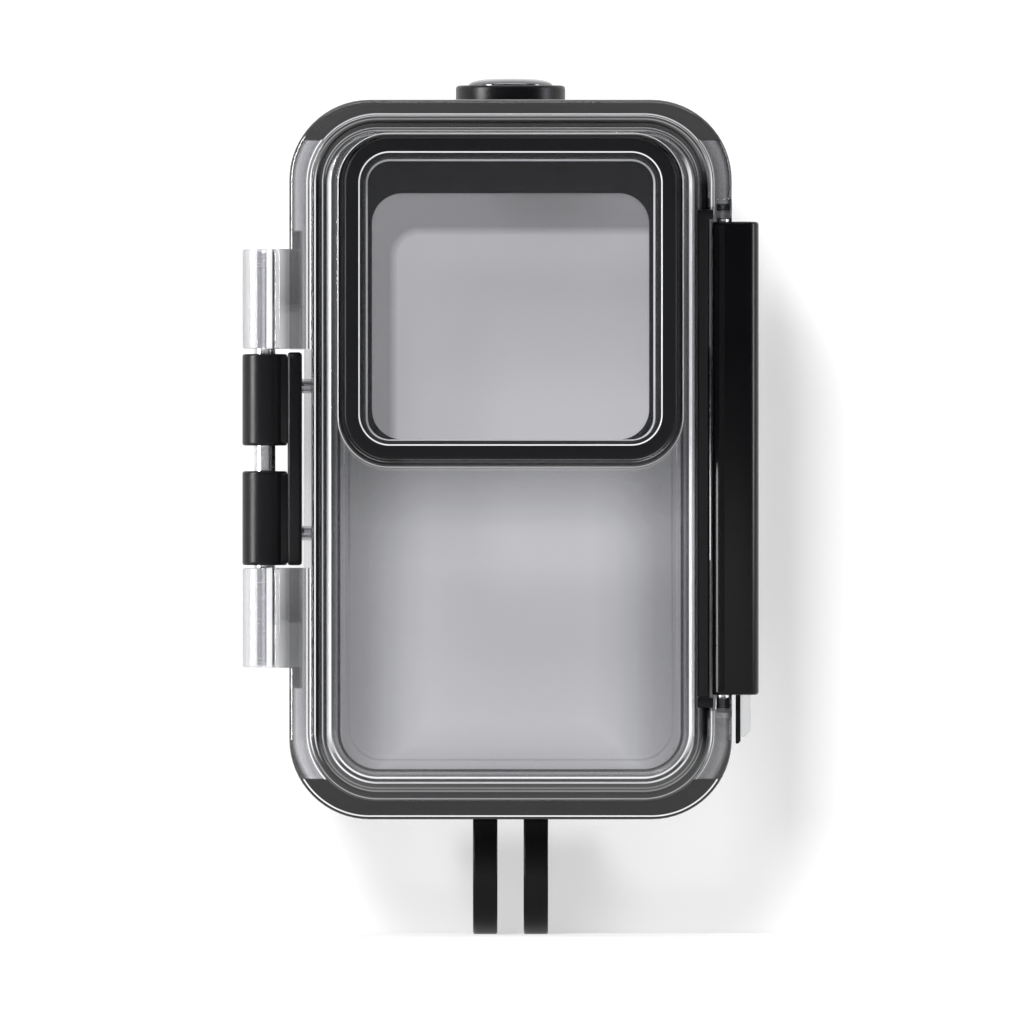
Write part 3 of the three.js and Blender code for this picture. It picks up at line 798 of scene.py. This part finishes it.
pinPiece("hingePin", hinge, hinge["pin"], -25.2, 25.5, 0.3, "case", "hinge_pin")
catchRail = {"low": (25.35, -7.75, -24), "high": (26.9, -5.0, 24), "soft": 0.35}
dress(block("catchRail", catchRail["low"], catchRail["high"], catchRail["soft"]), "case", "black",
      ["catch_rail"])
cushion = {"inner": 20.3, "outer": 22.1, "front": -8, "back": 5, "half": 27, "soft": 0.5}
for side, node in ((-1, "cushion_left"), (1, "cushion_right")):
    inner, outer = sorted((side * cushion["inner"], side * cushion["outer"]))
    strip = block(node.replace("_", ""), (inner, cushion["front"], -cushion["half"]),
                  (outer, cushion["back"], cushion["half"]), cushion["soft"])
    dress(strip, "case", "silicone", [node], look="gel")
print("case ready")


# two-finger mount

forkScrewPlaces = [(x, y) for x in (-6.6, 6.6) for y in (-4.6, 4.6)]


def makeFork():
    forkHigh = Vector(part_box("mount_fork")[1]) / mm
    plateBottom = bodyZ - body["height"] / 2
    side = [(fork["radius"], plateBottom + 0.5), (-fork["radius"], plateBottom + 0.5)]
    side += arc(0, 0, fork["radius"], 180, 360, 48)
    plate = block("mountFork", (-fork["width"] / 2, -fork["depth"] / 2, plateBottom),
                  (fork["width"] / 2, fork["depth"] / 2, forkHigh.z), 0.3, zero=0.0)
    fingers = []
    upright = Matrix(((0, 0, 1, 0), (1, 0, 0, 0), (0, 1, 0, 0), (0, 0, 0, 1)))
    for x in (fork["gap"] / 2, -fork["gap"] / 2 - fork["finger"]):
        finger = prism("finger", side, x, x + fork["finger"], 0.25, 3, zero=0.0)
        fingers.append(placed(finger, upright))
    combine(plate, fingers, "UNION")
    pivot = prism("pivot", arc(0, 0, fork["hole"], 0, 360, 48)[:-1], -10, 10, zero=0.0)
    tools = [placed(pivot, upright)]
    for x, y in forkScrewPlaces:
        tools.append(hole(x, y, 1.8, plateBottom - bodyZ - 1, plateBottom - bodyZ + 1))
        tools.append(hole(x, y, 1.0, plateBottom - bodyZ - 1, plateBottom - bodyZ + 5))
    combine(plate, tools, "DIFFERENCE")
    return dress(plate, "case", "black", ["mount_fork"], look="satin")


makeFork()

screwLow, screwHigh = (Vector(corner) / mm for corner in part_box("fork_screw_1"))
forkScrew = {"Across": 13.2, "Along": 9.2, "Head Radius": 1.7, "Head Depth": 0.8, "Shank Radius": 0.88,
             "Length": screwHigh.z - screwLow.z, "Socket Radius": 0.85, "Socket Depth": 0.5}


# head-down screws on the corners of a grid, each with a hexagonal socket
def screwTree():
    tree = bpy.data.node_groups.new("forkScrews", "GeometryNodeTree")
    tree.interface.new_socket("Geometry", in_out="OUTPUT", socket_type="NodeSocketGeometry")
    for name in forkScrew:
        tree.interface.new_socket(name, in_out="INPUT", socket_type="NodeSocketFloat")
    maker = NodeMaker(tree)
    given = maker.node("NodeGroupInput").socket.node.outputs
    size = {name: Wire(maker, given[name]) for name in forkScrew}

    def rod(vertices, radius, depth, bottom):
        made = maker.node("GeometryNodeMeshCylinder", values={
            "Vertices": vertices, "Radius": radius, "Depth": depth})
        place = maker.node("ShaderNodeCombineXYZ", values={"Z": bottom + depth / 2.0})
        return maker.node("GeometryNodeTransform", values={"Geometry": made, "Translation": place})

    def joined(operation, first, second):
        made = maker.node("GeometryNodeMeshBoolean", {"operation": operation})
        inputs = made.socket.node.inputs
        sockets = inputs if operation == "DIFFERENCE" else (inputs[1], inputs[1])
        for socket, part in zip(sockets, (first, second)):
            tree.links.new(part.socket, socket)
        return made

    head = rod(48, size["Head Radius"], size["Head Depth"], 0.0)
    shank = rod(32, size["Shank Radius"], size["Length"], 0.0)
    socket = rod(6, size["Socket Radius"], size["Socket Depth"] * 2.0, size["Socket Depth"] * -1.0)
    one = joined("DIFFERENCE", joined("UNION", head, shank), socket)
    grid = maker.node("GeometryNodeMeshGrid", values={
        "Size X": size["Across"], "Size Y": size["Along"], "Vertices X": 2, "Vertices Y": 2})
    copies = maker.node("GeometryNodeInstanceOnPoints", values={"Points": grid, "Instance": one})
    solid = maker.node("GeometryNodeRealizeInstances", values={"Geometry": copies})
    dressed = maker.node("GeometryNodeSetMaterial", values={
        "Geometry": solid, "Material": materials["steel"]})
    maker.node("NodeGroupOutput", values={"Geometry": dressed})
    return tree


def makeForkScrews():
    tree = screwTree()
    screws = bpy.data.objects.new("forkScrews", bpy.data.meshes.new("forkScrews"))
    bpy.context.scene.collection.objects.link(screws)
    nodes = screws.modifiers.new("screws", "NODES")
    nodes.node_group = tree
    for item in tree.interface.items_tree:
        if item.in_out == "INPUT":
            nodes[item.identifier] = forkScrew[item.name] * mm
    bake(screws)
    bevelled(screws, 0.06, 2, 40)
    placed(screws, Matrix.Translation(Vector((0, 0, screwLow.z)) * mm))
    return dress(screws, "case", "steel", [f"fork_screw_{number}" for number in (1, 2, 3, 4)])


makeForkScrews()


# latch and lock

lever = {"front": -20.3, "outer": 30.25, "inner": 27.4, "web": 2.4, "tail": -2.0, "lip": 30.4,
         "soft": 1.8}
lock = {"inner": 27.5, "split": 28.2, "outer": 29.3, "front": -10.4, "back": -6.6, "top": -22.0,
        "bottom": -34.7, "travel": 3.0}


def makeLever():
    x, y = latch["x"], latch["y"]
    points = [(x, lever["front"] + 0.1), (lever["outer"] - lever["soft"], lever["front"])]
    points += arc(lever["outer"] - lever["soft"], lever["front"] + lever["soft"], lever["soft"], -90, 0, 12)
    points += [(lever["outer"], lever["tail"] - 2.4), (lever["lip"], lever["tail"] - 0.8),
               (lever["lip"] - 0.6, lever["tail"]), (lever["inner"] + 0.4, lever["tail"]),
               (lever["inner"], lever["tail"] - 0.6), (lever["inner"], y + lever["web"]),
               (x, y + latch["barrel"] - 0.1)]
    arm = prism("latchLever", points, latch["bottom"], latch["top"], 0.5)
    barrel = turn("barrel", [(0.001, latch["bottom"], 0), (latch["barrel"], latch["bottom"], 0.35),
                             (latch["barrel"], latch["top"], 0.35), (0.001, latch["top"], 0)], x, y)
    combine(arm, [barrel], "UNION")
    channel = block("channel", (lever["inner"] - 1, lock["front"] - 0.3, latch["bottom"] - 1),
                    (lock["outer"] + 0.3, lock["back"] + 0.3, lock["top"] + lock["travel"] + 0.5))
    combine(arm, [channel, hole(x, y, latch["pin"] + 0.1, -60, 60)], "DIFFERENCE")
    return dress(arm, "latch", "satin", ["latch_lever"])


makeLever()


def makeLatchBase():
    rail = block("latchBase", (22.8, -19.4, -29.0), (24.2, -16.4, 28.6), 0.25)
    ends = [block("end", (22.8, -19.4, low), (24.7, -16.4, high), 0.2)
            for low, high in ((29.3, 30.5), (-30.3, -29.0))]
    link = block("link", (22.8, -19.4, 27.6), (24.2, -16.4, 30.0), 0.2)
    combine(rail, ends + [link], "UNION")
    return dress(rail, "cover", "black", ["latch_base"])


makeLatchBase()
latchSpring = {"low": (24.25, -19.9, -12.3), "high": (24.45, -17.0, 13.5), "soft": 0.06}
dress(block("latchSpring", latchSpring["low"], latchSpring["high"], latchSpring["soft"], 2), "cover", "steel",
      ["latch_spring"])
pinPiece("latchPin", latch, latch["pin"], -30.7, 31.0, 0.2, "cover", "latch_pin")


def lockPlate(name, inner, outer, cutCorner, bottom, slot, node, look=None):
    side = [(inner, lock["top"]), (outer, lock["top"]), (outer, bottom + cutCorner),
            (outer - cutCorner, bottom), (inner, bottom)]
    plate = prism(name, side, lock["front"], lock["back"], 0.12, 3, zero=0.0)
    tip = Matrix(((1, 0, 0, 0), (0, 0, 1, 0), (0, 1, 0, bodyZ * mm), (0, 0, 0, 1)))
    placed(plate, tip)
    plate.data.flip_normals()
    return dress(plate, "lock", slot, [node], look=look)


lockPlate("lockSlider", lock["inner"], lock["split"] - 0.1, 0.3, lock["bottom"], "black", "lock_slider")
lockPlate("lockGrip", lock["split"], lock["outer"], 0.8, lock["bottom"] + 0.8, "clear", "lock_grip", "clip")
print("latch ready")


# shutter button

cap = {"radius": 5.15, "rim": 45.1, "dome": 46.65, "hollow": 4.4, "ceiling": 45.7}
collarBottom = tub["height"] / 2 - button["seat"] + 0.1
dress(turn("buttonCollar", [(2.0, collarBottom, 0.1), (button["radius"], collarBottom, 0.1),
                            (button["radius"], button["top"], 0.5), (button["well"], button["top"], 0.3),
                            (button["well"], button["wellFloor"], 0.1), (2.0, button["wellFloor"], 0.1)],
           closed=True, around=96), "case", "black", ["button_collar"])


def makeCap():
    edge = cap["rim"] + 0.7
    profile = [(0.001, cap["ceiling"], 0), (cap["hollow"], cap["ceiling"], 0.1),
               (cap["hollow"], cap["rim"], 0.1), (cap["radius"], cap["rim"], 0.15)]
    for step in range(13):
        angle = step / 12 * math.pi / 2
        profile.append((max(cap["radius"] * math.cos(angle) ** 0.6, 0.001),
                        edge + (cap["dome"] - edge) * math.sin(angle), 0))
    return dress(turn("buttonCap", profile, around=96), "button", "polished", ["button_cap"], angle=50)


makeCap()

springLow, springHigh = (Vector(corner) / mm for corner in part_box("button_spring"))
buttonSpring = {"wire": 0.22, "turns": 2.25, "steps": 28, "around": 10, "travel": 1.3}


# a coil under the cap, sized to the frame's spring
def makeSpring():
    look = buttonSpring
    count = round(look["turns"] * look["steps"])
    bottom, top = springLow.z + look["wire"], springHigh.z - look["wire"]
    radius = (springHigh.x - springLow.x) / 2 - look["wire"]
    turn = 2 * math.pi / look["steps"]
    points = []
    for step in range(count + 1):
        angle = step * turn
        outward = np.array([math.cos(angle), math.sin(angle), 0.0])
        middle = outward * radius + np.array([0.0, 0.0, bottom + (top - bottom) * step / count])
        for side in range(look["around"]):
            bend = side * 2 * math.pi / look["around"]
            spoke = outward * math.cos(bend) + np.array([0, 0, math.sin(bend)])
            points.append(middle + look["wire"] * spoke)
    ring = look["around"]
    faces = [(row * ring + i, row * ring + (i + 1) % ring, (row + 1) * ring + (i + 1) % ring,
              (row + 1) * ring + i) for row in range(count) for i in range(ring)]
    faces += [tuple(range(ring)), tuple(range(count * ring, (count + 1) * ring))]
    spring = dress(toMesh("buttonSpring", points, faces), "button", "steel", ["button_spring"], angle=60)
    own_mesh(spring)


makeSpring()


# nodes that keep their frame mesh

for name, node in frame["nodes"].items():
    slotName = next(row["material_slot"] for row in frame["record"]["subparts"] if row["node"] == name)
    node.data.materials.clear()
    node.data.materials.append(materials[slotName])
print("button ready")


# stage, light and camera

stageLook = {"wallGap": 5.0, "span": 3.0, "glow": 0.42, "paper": 0.62}


# pale paper that glows a little, so that shadows on it stay soft and shallow
def stageMaterial(name, oneSided):
    maker = Material(name)
    cloud = maker.noise(6.0, 2.0)
    paper = maker.node("ShaderNodeBsdfPrincipled", values={
        "Base Color": maker.mixed(cloud, (stageLook["paper"],) * 3, (stageLook["paper"] * 1.03,) * 3),
        "Roughness": 1.0, "Specular IOR Level": 0.0,
        "Emission Color": (1.0, 1.0, 1.0), "Emission Strength": stageLook["glow"]})
    if not oneSided:
        return maker.finish(paper)
    back = maker.node("ShaderNodeNewGeometry", output="Backfacing")
    gone = maker.node("ShaderNodeBsdfTransparent")
    return maker.finish(maker.node("ShaderNodeMixShader", values={0: back, 1: paper, 2: gone}))


def stagePlane(name, corners, material):
    mesh = bpy.data.meshes.new(name)
    mesh.from_pydata(corners, [], [(0, 1, 2, 3)])
    mesh.materials.append(material)
    material.cycles.emission_sampling = "NONE"
    plane = bpy.data.objects.new(name, mesh)
    bpy.context.scene.collection.objects.link(plane)
    return plane


def makeStage():
    span = stageLook["span"]
    wallY = (tub["back"] + stageLook["wallGap"]) * mm
    floorZ = cadBounds[0][2]
    corners = [(-span, wallY, floorZ), (span, wallY, floorZ), (span, wallY, span), (-span, wallY, span)]
    wall = stagePlane("wall", corners, stageMaterial("wallPaper", True))
    wall.visible_shadow = False
    corners = [(-span, -span, floorZ), (span, -span, floorZ), (span, span, floorZ), (-span, span, floorZ)]
    stagePlane("floor", corners, stageMaterial("floorPaper", False))


makeStage()

middle = Vector((0.0, 0.0, bodyZ * mm))
softboxLook = {
    "leftBox": {"place": (-0.58, -0.27, 0.06), "wide": 0.16, "tall": 0.8, "glow": 40.0,
                "tint": (1.0, 1.0, 1.0)},
    "rightBox": {"place": (0.60, -0.10, 0.05), "wide": 0.12, "tall": 0.7, "glow": 16.0,
                 "tint": (0.93, 0.92, 1.0)},
    "topBox": {"place": (0.0, -0.22, 0.65), "wide": 0.8, "tall": 0.08, "glow": 12.0,
               "tint": (1.0, 1.0, 1.0)}}


# glowing panels that show only as highlights
def makeSoftbox(name, look):
    maker = Material(name)
    facing = maker.node("ShaderNodeNewGeometry", output="Backfacing")
    maker.finish(maker.node("ShaderNodeMixShader", values={
        0: facing,
        1: maker.node("ShaderNodeEmission", values={"Color": look["tint"], "Strength": look["glow"]}),
        2: maker.node("ShaderNodeBsdfTransparent")}))
    place = Vector(look["place"])
    turned = (place - middle).to_track_quat("Z", "Y").to_matrix()
    wide, tall = look["wide"] / 2, look["tall"] / 2
    corners = [place + turned @ Vector(corner) for corner in
               ((-wide, -tall, 0), (wide, -tall, 0), (wide, tall, 0), (-wide, tall, 0))]
    panel = stagePlane(name, corners, maker.material)
    # the panel's front looks at the object
    if (panel.data.polygons[0].normal).dot(middle - place) < 0:
        panel.data.flip_normals()
    panel.visible_camera = panel.visible_diffuse = panel.visible_transmission = panel.visible_shadow = False


for boxName, boxLook in softboxLook.items():
    makeSoftbox(boxName, boxLook)


keyLook = {"size": 0.35, "watts": 15.0, "place": (-0.26, -1.0, 0.62)}


def makeKeyLight():
    data = bpy.data.lights.new("keyLight", "AREA")
    data.size = keyLook["size"]
    data.energy = keyLook["watts"]
    lamp = bpy.data.objects.new("keyLight", data)
    lamp.location = keyLook["place"]
    lamp.rotation_euler = (middle - lamp.location).to_track_quat("-Z", "Y").to_euler()
    lamp.visible_glossy = False
    bpy.context.scene.collection.objects.link(lamp)


makeKeyLight()

worldLook = {"dark": 0.03, "pale": 0.75}


# dim studio walls for reflections, pale where a view looks at them or through the housing to them
def makeWorld():
    world = bpy.data.worlds.new("studio")
    world.use_nodes = True
    tree = world.node_tree
    maker = NodeMaker(tree)
    background = tree.nodes["Background"]
    path = maker.node("ShaderNodeLightPath")
    isCamera = Wire(maker, path.socket.node.outputs["Is Camera Ray"])
    isThrough = Wire(maker, path.socket.node.outputs["Is Transmission Ray"])
    pale = isCamera.atLeast(isThrough)
    tree.links.new((pale * (worldLook["pale"] - worldLook["dark"]) + worldLook["dark"]).socket,
                   background.inputs["Strength"])
    background.inputs["Color"].default_value = (0.97, 0.98, 1.0, 1)
    world.cycles.sampling_method = "NONE"
    bpy.context.scene.world = world


makeWorld()

# viewWide is how much the picture takes in at the housing, in metres
camera = {"distance": 5.0, "elevation": 0.0, "sensor": 36.0, "viewWide": 0.12487805,
          "aimX": 0.00018, "aimDepth": 0.7, "aimDrop": 0.0064}


# a long lens, level with the housing and square to its front
def makeCamera():
    data = bpy.data.cameras.new("camera")
    data.sensor_width = camera["sensor"]
    data.dof.use_dof = False
    data.lens = camera["sensor"] * camera["distance"] / camera["viewWide"]
    thing = bpy.data.objects.new("camera", data)
    tilt = math.radians(camera["elevation"])
    aim = Vector((camera["aimX"], coverLow.y * camera["aimDepth"], bodyZ * mm - camera["aimDrop"]))
    away = Vector((0, -math.cos(tilt), math.sin(tilt)))
    thing.location = aim + away * camera["distance"]
    thing.rotation_euler = (-away).to_track_quat("-Z", "Y").to_euler()
    bpy.context.scene.collection.objects.link(thing)
    bpy.context.scene.camera = thing


makeCamera()
scene = bpy.context.scene
scene.view_settings.view_transform = "Standard"
scene.view_settings.look = "None"
scene.cycles.use_denoising = True
scene.cycles.max_bounces = 16
scene.cycles.transmission_bounces = 16
scene.cycles.glossy_bounces = 6
scene.cycles.transparent_max_bounces = 32
scene.cycles.caustics_reflective = False
scene.cycles.caustics_refractive = False
print("stage ready")
